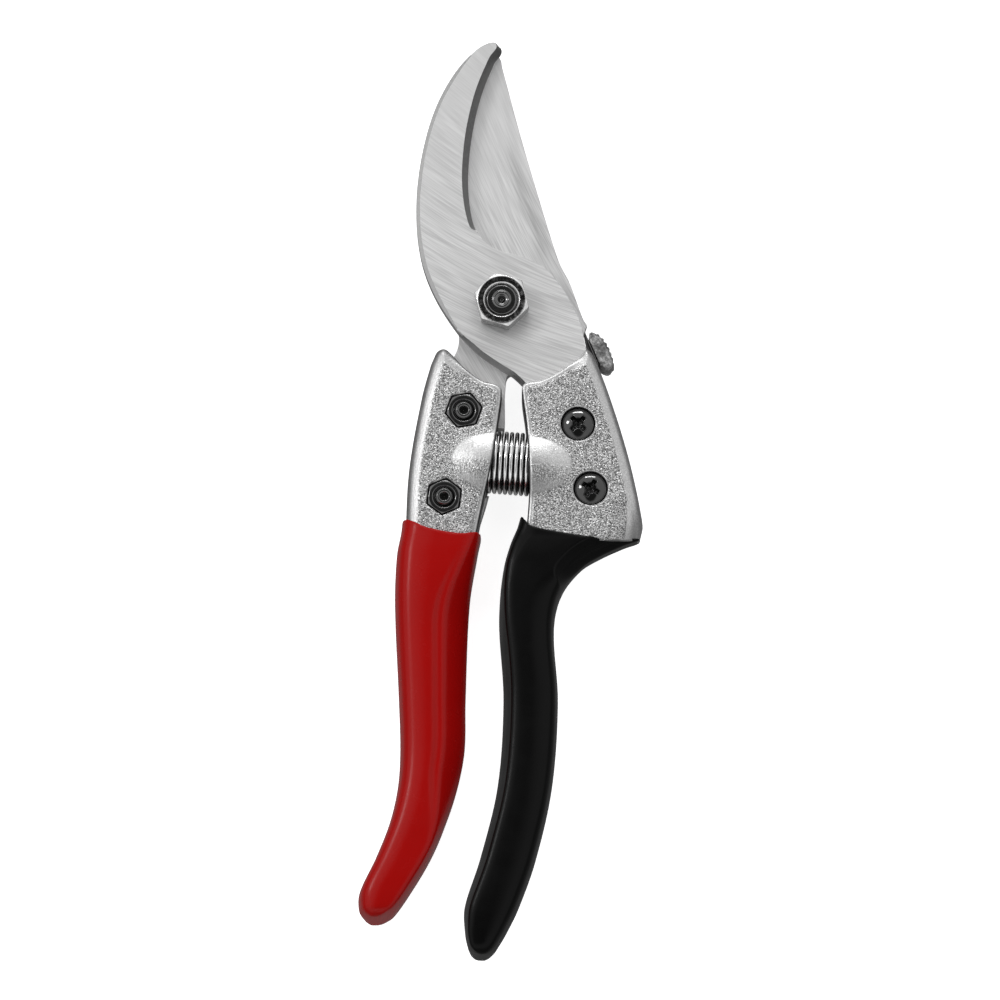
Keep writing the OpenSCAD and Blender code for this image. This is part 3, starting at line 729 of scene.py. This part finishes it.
def nut(name, node, body, across, corner, thread, up, slot, material, step=0.09):
    """Hex nut with turned corners and a countersunk thread. On the bright one, a dark reflection is painted
    on a ring of its top face and shade on its sides.
    """
    low, high = box_mm(node)
    b = Block(low, high, step)
    x, y = centre_mm(node)[:2]
    u, v = b.x - x, b.y - y
    r = np.hypot(u, v)
    layer = slab(b, low, high)
    turned = 0.55 * (r - across / 2 + 0.05) + 0.83 * layer
    solid = both(both(hexagon(u, v, across, corner), layer, 0.12), turned, 0.1)
    into = high[2] - b.z if up else b.z - low[2]
    solid = cut(solid, r - thread)
    solid = cut(solid, 0.7 * (r - thread - 0.55 + into), 0.08)
    obj, points = solid_mesh(name, solid, b)
    # painted dark reflection on a ring of the top face and painted shade on the sides, in the layer "dark"
    if slot == "bright_steel":
        reach = np.hypot(points[:, 0] - x, points[:, 1] - y)
        ring = ramp_to(reach, 4.0, 4.12) * (1 - ramp_to(reach, 5.15, 5.3))
        sides = 0.6 * (points[:, 2] < high[2] - 0.5) * (reach > 4.6)
        paint(obj, "dark", (points[:, 2] > high[2] - 0.12) * ring + sides)
    return finish_piece(obj, body, node, slot, material)


def pan_screw(name, node, body, seat, up, turn, step=0.09):
    """Pan head screw with a cross recess; its end shows in the nut on the other side."""
    low, high = box_mm(node)
    b = Block(low, high, step)
    x, y = centre_mm(node)[:2]
    sign = 1 if up else -1
    u, v = b.x - x, sign * (b.y - y)
    h = sign * (b.z - seat)
    r = np.hypot(u, v)
    top = 2.2
    dome = np.hypot(r, h - top + 6.2) - 6.2
    shape = both(both(r - 3.72, -h, 0.12), dome, 0.3)
    length = seat - low[2] if up else high[2] - seat
    thread = 2.0 - 0.16 * (0.5 + 0.5 * np.cos(2 * np.pi * h / 0.7 + np.arctan2(v, u)))
    tip = h + length
    shank = both(both(r - thread, -tip), 0.7 * (r - 1.55 - tip), 0.05)
    shank = cut(shank, 0.75 * (r - 1.15 + 0.9 * tip), 0.08)
    shank = both(shank, h - 0.5)
    shape = either(shape, shank)
    a = math.radians(turn)
    p, q = u * math.cos(a) + v * math.sin(a), -u * math.sin(a) + v * math.cos(a)
    down = top - h

    def arm(s, t):
        return both(np.abs(s) - 2.4 + 0.6 * down, np.abs(t) - 0.58 + 0.16 * down, 0.12)

    recess = both(either(arm(p, q), arm(q, p), 0.25), down - 1.7)
    core = both(r - 1.3 + 0.4 * down, down - 2.0)
    shape = cut(shape, either(recess, core, 0.1), 0.1)
    obj, _ = solid_mesh(name, shape, b)
    return finish_piece(obj, body, node, "black_steel", HEAD_BLACK if up else OXIDE)


def pivot_bolt(step=0.1):
    """Bolt with its hex head on the back, a bearing through both blades and a threaded end."""
    low, high = box_mm("pivot_bolt")
    b = Block(low, high, step)
    r = np.hypot(b.x, b.y)
    head_h = 3.35
    head_part = both(hexagon(b.x, b.y, 12, 0), np.abs(b.z - head_h / 2) - head_h / 2, 0.2)
    head_part = both(head_part, 0.6 * (r - 6.1) - 0.8 * b.z, 0.1)
    head_part = cut(head_part, both(r - 4.6, b.z - 0.25, 0.1), 0.15)
    bearing = both(r - 4.0, b.z - 12)
    groove = 0.12 * (0.5 + 0.5 * np.cos(2 * np.pi * b.z / 1.0 + np.arctan2(b.y, b.x)))
    stem = both(r - 3.5 + groove, b.z - high[2] + 0.25, 0.4)
    ring = np.hypot(r - 1.62, b.z - high[2] + 0.4) - 0.4
    stem = both(stem, -b.z)
    solid = either(either(head_part, both(bearing, -b.z)), either(stem, ring, 0.12))
    dimple = both(0.8 * (r - 1.15 + 0.7 * (high[2] - b.z)), high[2] - 1.1 - b.z)
    solid = cut(solid, dimple, 0.12)
    obj, _ = solid_mesh("pivot_bolt_black", solid, b)
    return finish_piece(obj, "black_half", "pivot_bolt", "black_steel", OXIDE)


# ---------------------------------------------------------------- spring

def spring():
    """Compression spring with closed ends between the halves; the real one is stretched when the tool opens,
    but this one is built at one length.
    """
    length = 18.6
    wire, mean = 0.48, 6.62
    turns, around, ring = 15, 56, 14
    count = turns * around
    t = np.arange(count + 1) / around
    rise = np.interp(t, [0, 1, turns - 1, turns], [0, 1.02, length - 2 * wire - 1.02, length - 2 * wire])
    a = 2 * np.pi * t
    centre = np.stack([rise - length / 2 + wire, mean * np.cos(a), mean * np.sin(a)], 1)
    tangent = np.gradient(centre, axis=0)
    tangent /= np.linalg.norm(tangent, axis=1, keepdims=True)
    out = np.stack([np.zeros_like(a), np.cos(a), np.sin(a)], 1)
    side = np.cross(tangent, out)
    w = 2 * np.pi * np.arange(ring) / ring
    circle = np.cos(w)[None, :, None] * out[:, None] + np.sin(w)[None, :, None] * side[:, None]
    points = (centre[:, None] + wire * circle).reshape(-1, 3)
    c, s = math.cos(TILT), math.sin(TILT)
    place = np.stack([SPRING_AT[0] + c * points[:, 0] - s * points[:, 1],
                      SPRING_AT[1] + s * points[:, 0] + c * points[:, 1], MIDDLE_Z + points[:, 2]], 1)
    faces = []
    for i in range(count):
        for k in range(ring):
            q = (k + 1) % ring
            faces.append((i * ring + k, i * ring + q, (i + 1) * ring + q, (i + 1) * ring + k))
    faces.append(tuple(range(ring))[::-1])
    faces.append(tuple(count * ring + k for k in range(ring)))
    mesh = bpy.data.meshes.new("spring_coil")
    mesh.from_pydata(place * MM, [], faces)
    mesh.update()
    mesh.shade_smooth()
    obj = bpy.data.objects.new("spring_coil", mesh)
    bpy.context.collection.objects.link(obj)
    bm = bmesh.new()
    bm.from_mesh(mesh)
    bmesh.ops.recalc_face_normals(bm, faces=bm.faces)
    bm.to_mesh(mesh)
    bm.free()
    # painted shade between the coils leaves only their crowns bright
    crown = np.tile(np.cos(w), count + 1)
    paint(obj, "dark", 1 - ramp_to(crown, 0.45, 0.8))
    obj.data.materials.append(SPRING_STEEL)
    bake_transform(obj)
    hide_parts("spring")
    return obj


# ---------------------------------------------------------------- safety catch

CATCH_TURN = math.radians(22.5)
PAD = [[15.05, -14.6, 1], [15.6, -13.6], [16.2, -13.45], [16.7, -13.8], [17.35, -14.6], [17.95, -16],
       [18.3, -18.3], [18.2, -20], [18.05, -21.4], [17.6, -22.3], [16.8, -22.75], [16, -22.5],
       [15.05, -21.4, 1]]


def catch_place(x, y):
    """Place in the frame that the catch slides along; the second value grows the way it slides."""
    return (x * math.cos(CATCH_TURN) + y * math.sin(CATCH_TURN),
            -x * math.sin(CATCH_TURN) + y * math.cos(CATCH_TURN))


def catch_guide(step=0.12):
    """Strip beside the head, with the slot that the pad's rivet moves in."""
    low, high = box_mm("catch_guide")
    b = Block(low, high + [0, 0.6, 0], step)
    u, v = catch_place(b.x, b.y)
    points = [[13.9, -20.9, 1], [14.92, -20.9, 1], [14.92, -12.75, 1], [14.62, -12.95, 1], [14.5, -13.6, 1],
              [13.95, -15.6, 1]]
    plan = polygon_field(outline(points), u[:, :, 0], v[:, :, 0])[:, :, None]
    strip = both(plan, slab(b, low, high), 0.25)
    slot = both(np.abs(v + 16.5) - 2.1, np.abs(b.z - 6.4) - 1.1)
    obj, _ = solid_mesh("catch_guide_strip", cut(strip, slot, 0.1), b)
    return finish_piece(obj, "black_half", "catch_guide", "black_steel", OXIDE)


def catch_pad(step=0.12):
    """Thumb pad with ribs along its outer edge."""
    low, high = box_mm("catch_pad")
    b = Block(low, high, step)
    u, v = catch_place(b.x, b.y)
    edge = outline(PAD)
    plan = polygon_field(edge, u[:, :, 0], v[:, :, 0])[:, :, None]
    tall = slab(b, low, high)
    solid = both(plan, tall, 0.25 + 0.6 * ramp_to(u, 15.6, 17.4))
    for v_rib in np.arange(-21.9, -14.4, 1.22):
        u_rib = edge[np.argmin(np.abs(edge[:, 1] - v_rib) - 10 * (edge[:, 0] > 16)), 0]
        rib = both(np.hypot(u - u_rib + 0.1, v - v_rib) - 0.42, tall + 0.9, 0.3)
        solid = either(solid, rib, 0.15)
    obj, _ = solid_mesh("catch_pad_ribbed", solid, b)
    return finish_piece(obj, "catch", "catch_pad", "pad_grey", PAD_GREY)


# ---------------------------------------------------------------- blades

def cylinder(radius, start, end):
    """Cutter along a line, in millimetres."""
    bm = bmesh.new()
    way = Vector(end) - Vector(start)
    bmesh.ops.create_cone(bm, cap_ends=True, segments=96, radius1=radius * MM, radius2=radius * MM,
                          depth=way.length * MM)
    turn = way.to_track_quat("Z", "Y").to_matrix().to_4x4()
    bm.transform(turn)
    bmesh.ops.translate(bm, verts=bm.verts, vec=(Vector(start) + way / 2) * MM)
    mesh = bpy.data.meshes.new("cutter")
    bm.to_mesh(mesh)
    bm.free()
    obj = bpy.data.objects.new("cutter", mesh)
    bpy.context.collection.objects.link(obj)
    return obj


def ground_plate(name, line, levels, bevels, cutters):
    """Flat plate with ground edges. Each level is a height and an inset, for every point of the outline;
    bevels gives the number of the material between the last two levels. The sides have material 1."""
    n = len(line)
    area = 0.5 * np.sum(line[:, 0] * np.roll(line[:, 1], -1) - line[:, 1] * np.roll(line[:, 0], -1))
    if area < 0:
        line, bevels = line[::-1], bevels[::-1]
        levels = [(np.broadcast_to(z, n)[::-1], np.broadcast_to(i, n)[::-1]) for z, i in levels]
    way = np.roll(line, -1, axis=0) - np.roll(line, 1, axis=0)
    way /= np.linalg.norm(way, axis=1, keepdims=True)
    inward = np.stack([-way[:, 1], way[:, 0]], 1)
    rings = []
    for z, inset in levels:
        xy = line + inward * np.broadcast_to(inset, n)[:, None]
        rings.append(np.column_stack([xy, np.broadcast_to(z, n)]))
    points = np.concatenate(rings) * MM
    faces, kinds = [tuple(range(n))[::-1]], [0]
    for k in range(len(levels) - 1):
        for i in range(n):
            j = (i + 1) % n
            faces.append((k * n + i, k * n + j, (k + 1) * n + j, (k + 1) * n + i))
            last = k == len(levels) - 2
            kinds.append(int(min(bevels[i], bevels[j])) if last else int(k == len(levels) - 3))
    faces.append(tuple((len(levels) - 1) * n + i for i in range(n)))
    kinds.append(0)
    mesh = bpy.data.meshes.new(name)
    mesh.from_pydata(points, [], faces)
    mesh.polygons.foreach_set("material_index", kinds)
    mesh.update()
    obj = bpy.data.objects.new(name, mesh)
    bpy.context.collection.objects.link(obj)
    for cutter in cutters:
        step = obj.modifiers.new("hole", "BOOLEAN")
        step.operation = "DIFFERENCE"
        step.solver = "EXACT"
        step.object = cutter
    bpy.context.view_layer.update()
    final = bpy.data.meshes.new_from_object(obj.evaluated_get(bpy.context.evaluated_depsgraph_get()))
    obj.modifiers.clear()
    obj.data = final
    for cutter in cutters:
        bpy.data.objects.remove(cutter)
    final.shade_smooth()
    final.set_sharp_from_angle(angle=math.radians(24))
    return obj


def tang_cutters(side, bore, nuts, z0, z1):
    """Cutters for a blade's pivot bore, the spring's room and the screws' holes."""
    axis = np.array([math.cos(TILT), math.sin(TILT), 0])
    middle = np.array([SPRING_AT[0], SPRING_AT[1], MIDDLE_Z])
    found = [cylinder(bore, (0, 0, z0 - 1), (0, 0, z1 + 1)),
             cylinder(SOCKET_R + 0.6, middle - side * 2 * axis, middle + side * 10.5 * axis)]
    for node in nuts:
        x, y = centre_mm(node)[:2]
        found.append(cylinder(2.1, (x, y, z0 - 1), (x, y, z1 + 1)))
    return found


HOOK_OUTER = [[-2.6, 60.2], [-7, 57.4], [-11.4, 52], [-15.4, 43.8], [-18.2, 32.8], [-19.2, 21.5],
              [-18.1, 10.8], [-15.2, 2.5], [-10.1, -5.8]]
HOOK_TANG = [[-5.6, -10.6], [-0.5, -14.3], [3, -16.6], [5.6, -20], [6.6, -30], [7.2, -49, 1],
             [27, -51, 1], [24.6, -32], [21.2, -18]]
HOOK_HUB = [[18.8, -10], [17.8, -4.8], [16.1, -0.8], [13.6, 3.6], [9.8, 8.2], [5.3, 10.6], [-1, 12.5],
            [-3.9, 14.4]]
HOOK_INNER = [[-6.2, 18.6], [-7.3, 24.5], [-7.5, 31], [-6.6, 39.8], [-4.6, 48.6], [-1.7, 56],
              [0, 59.2]]


def hook_blade():
    line, place = outline(HOOK_OUTER + HOOK_TANG + HOOK_HUB + HOOK_INNER, 10, with_place=True)
    inner = len(HOOK_OUTER + HOOK_TANG + HOOK_HUB)
    last = inner + len(HOOK_INNER) - 1
    outside = ramp_to(place, 0.3, 2.0) * (1 - ramp_to(place, 7.0, 8.6))
    inside = ramp_to(place, inner - 0.5, inner - 0.1) * (1 - ramp_to(place, last + 0.3, last + 0.65))
    width = np.interp(place, [inner - 0.3, inner + 1, inner + 3, last], [1.1, 1.3, 1.4, 1.2])
    hub = ramp_to(place, 8.0, 8.8) * (1 - ramp_to(place, 12.2, 13.0))
    top_inset = 0.05 + 0.8 * outside + 0.6 * hub + width * inside
    drop = 0.05 + 0.55 * outside + 2.5 * hub + 3.1 * inside
    low, high = box_mm("hook_blade")
    levels = [(low[2], 0.06), (low[2] + 0.06, 0.0), (high[2] - drop, 0.0), (high[2], top_inset)]
    bevels = np.where(inside > 0.4, 2, (outside > 0.3) | (hub > 0.3))
    obj = ground_plate("hook_blade_ground", line, levels, bevels,
                       tang_cutters(1, 4.0, ("right_upper_nut", "right_lower_nut"), low[2], high[2]))
    return finish_piece(obj, "black_half", "hook_blade", "blade_steel", HOOK_STEEL, EDGE_STEEL, INNER_BEVEL_SHADED_STEEL)


def arc(radius, angles):
    return [[radius * math.cos(math.radians(a)), radius * math.sin(math.radians(a)), 1] for a in angles]


BLADE_EDGE = [[-1.8, 57.2], [-5.6, 51.6], [-8.8, 43.4], [-10.4, 33.5], [-10.6, 24], [-9.4, 15.6]]
BLADE_LEFT = [[-10.6, 8], [-11, 2], [-9.8, -4], [-9.8, -9], [-12.4, -14.5], [-16, -24],
              [-18.2, -36], [-19, -50, 1], [-5, -50, 1], [-3.3, -44.4], [-1, -35], [0.6, -28], [0.8, -18.5]]
BLADE_RIGHT = [[1.8, -15.2], [6, -15.6], [10.6, -14]]
BLADE_SPINE = [[19.1, -3.9, 1], [18.2, -2.4], [15.2, 5.9], [12.8, 10.8], [7.6, 27.9], [3.7, 41.7],
               [0.2, 55.2], [-0.5, 57.6]]


def cutting_blade():
    notch, shoulder = arc(17.5, np.arange(-47, -23, 3)), arc(19.4, np.arange(-23.5, -13, 2.5))
    points = BLADE_EDGE + BLADE_LEFT + BLADE_RIGHT + notch + shoulder + BLADE_SPINE
    line, place = outline(points, 10, with_place=True)
    low, high = box_mm("cutting_blade")
    end = len(points)
    ground = np.interp(place, [0, 1, 2, 4, 5, 5.8, end - 0.5, end], [0.4, 3.0, 5, 4.6, 2, 0.06, 0.06, 0.4])
    rise = np.interp(place, [0, 4.6, 5.8, end - 0.5, end], [3.1, 3.1, 0.06, 0.06, 3.1])
    levels = [(low[2], ground), (low[2] + rise, 0.0), (high[2] - 0.05, 0.0), (high[2], 0.05)]
    obj = ground_plate("cutting_blade_ground", line, levels, np.zeros(len(line), int),
                       tang_cutters(-1, 4.05, ("left_upper_nut", "left_lower_nut"), low[2], high[2]))
    return finish_piece(obj, "red_half", "cutting_blade", "blade_steel", BLADE_STEEL, EDGE_STEEL)


# ---------------------------------------------------------------- CAD shapes with their edges broken

def softened(node, name, body, slot, material, width_mm):
    """The CAD shape with its edges slightly rounded."""
    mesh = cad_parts[node].data.copy()
    mesh.name = name
    bm = bmesh.new()
    bm.from_mesh(mesh)
    bmesh.ops.remove_doubles(bm, verts=bm.verts, dist=2e-6)
    bmesh.ops.dissolve_limit(bm, angle_limit=math.radians(0.6), verts=bm.verts, edges=bm.edges)
    bm.to_mesh(mesh)
    bm.free()
    if "custom_normal" in mesh.attributes:
        mesh.attributes.remove(mesh.attributes["custom_normal"])
    mesh.shade_smooth()
    obj = bpy.data.objects.new(name, mesh)
    bpy.context.collection.objects.link(obj)
    bevel = obj.modifiers.new("edges", "BEVEL")
    bevel.width = width_mm * MM
    bevel.segments = 2
    bevel.limit_method = "ANGLE"
    bevel.angle_limit = math.radians(28)
    bevel.harden_normals = True
    bevel.miter_outer = "MITER_ARC"
    bpy.context.view_layer.update()
    final = bpy.data.meshes.new_from_object(obj.evaluated_get(bpy.context.evaluated_depsgraph_get()))
    obj.modifiers.clear()
    obj.data = final
    return finish_piece(obj, body, node, slot, material)


def build():
    left_handle()
    right_handle()
    left_grip()
    right_grip()
    cutting_blade()
    hook_blade()
    nut("pivot_nut_hex", "pivot_nut", "black_half", 11, -16, 3.5, True, "bright_steel", NUT_STEEL)
    pivot_bolt()
    softened("pivot_washer", "pivot_washer_ring", "black_half", "bright_steel", WASHER_STEEL, 0.15)
    for side, body, up in (("left", "red_half", False), ("right", "black_half", True)):
        for place in ("upper", "lower"):
            screw, hex_nut = f"{side}_{place}_screw", f"{side}_{place}_nut"
            pan_screw(screw + "_black", screw, body, 13.2 if up else 3.2, up, CROSS_TURNS[screw])
            nut(hex_nut + "_black", hex_nut, body, 7, NUT_CORNERS[hex_nut], 2.05, not up,
                "black_steel", OXIDE)
    spring()
    catch_pad()
    catch_guide()
    softened("catch_slider", "catch_slider_finger", "catch", "black_steel", OXIDE, 0.15)
    softened("catch_rivet", "catch_rivet_pin", "catch", "bright_steel", WASHER_STEEL, 0.1)
    softened("catch_leaf", "catch_leaf_spring", "black_half", "bright_steel", SPRING_STEEL, 0.03)


build()

# ---------------------------------------------------------------- studio

def studio():
    floor_mesh = bpy.data.meshes.new("floor")
    size = 3.0
    square = [(-size, -size, 0), (size, -size, 0), (size, size, 0), (-size, size, 0)]
    floor_mesh.from_pydata(square, [], [(0, 1, 2, 3)])
    floor = bpy.data.objects.new("floor", floor_mesh)
    floor.location.z = -0.0002
    bpy.context.collection.objects.link(floor)
    paper = Nodes("paper")
    fibres = paper.noise(paper.place, 30, 2, 0.5)
    paper.set(Base_Color=paper.ramp(fibres, (0.3, 0.90), (0.7, 0.93)), Roughness=0.9,
              Emission_Color=(1, 1, 1, 1), Emission_Strength=0.85)
    floor_mesh.materials.append(paper.material)
    floor.visible_diffuse = False
    floor.visible_glossy = False

    # A light tent: bright all round, with the dark opening above that the picture is taken through
    world = bpy.data.worlds.new("studio")
    bpy.context.scene.world = world
    world.use_nodes = True
    sky = Nodes("sky", world.node_tree)
    way = sky.add("ShaderNodeSeparateXYZ", {0: sky.add("ShaderNodeTexCoord").outputs["Generated"]}).outputs
    back = math.radians(12)
    dark, below = 0.07, 0.2
    tilted = sky.sum(sky.times(way[1], math.cos(back)), sky.times(way[2], math.sin(back)))
    wide = sky.math("DIVIDE", way[0], 0.42)
    deep = sky.math("DIVIDE", tilted, 0.545)
    reach = sky.sum(sky.times(wide, wide), sky.times(deep, deep))
    walls = sky.less(1.0, sky.times(way[0], 0.1))
    opening = sky.span(reach, 0.0, 1.0, 0.7, 1.4, smooth=True)
    tent = sky.sum(dark, sky.times(opening, sky.less(walls, dark)))
    above = sky.span(way[2], 0.0, 1.0, -0.05, 0.3, smooth=True)
    light = sky.sum(below, sky.times(above, sky.less(tent, below)))
    background = world.node_tree.nodes["Background"]
    world.node_tree.links.new(light, background.inputs[1])
    background.inputs[0].default_value = (1, 1, 1, 1)

    def lamp(name, place, aim, width, height, power):
        light = bpy.data.lights.new(name, "AREA")
        light.shape = "RECTANGLE"
        light.size, light.size_y = width, height
        light.energy = power
        obj = bpy.data.objects.new(name, light)
        obj.location = place
        obj.rotation_euler = (Vector(aim) - Vector(place)).to_track_quat("-Z", "Y").to_euler()
        bpy.context.collection.objects.link(obj)

    lamp("key", (-0.85, 0.35, 0.9), (0, -0.04, 0), 0.22, 0.22, 2.6)
    lamp("top_strip", (0, 1.15, 0.62), (0, -0.04, 0), 0.8, 0.1, 4.5)

    aim = Vector((-0.38, -44.12, 8.0)) * MM
    away = Vector((0, -0.2164, 0.9763)).normalized()
    distance = 8.0
    camera = bpy.data.cameras.new("camera")
    camera.sensor_width = 36
    camera.lens = 36 * distance / 0.224
    camera.clip_start, camera.clip_end = 0.1, 60
    obj = bpy.data.objects.new("camera", camera)
    obj.location = aim + distance * away
    obj.rotation_euler = (-away).to_track_quat("-Z", "Y").to_euler()
    bpy.context.collection.objects.link(obj)
    bpy.context.scene.camera = obj
    bpy.context.scene.view_settings.view_transform = "Standard"


studio()
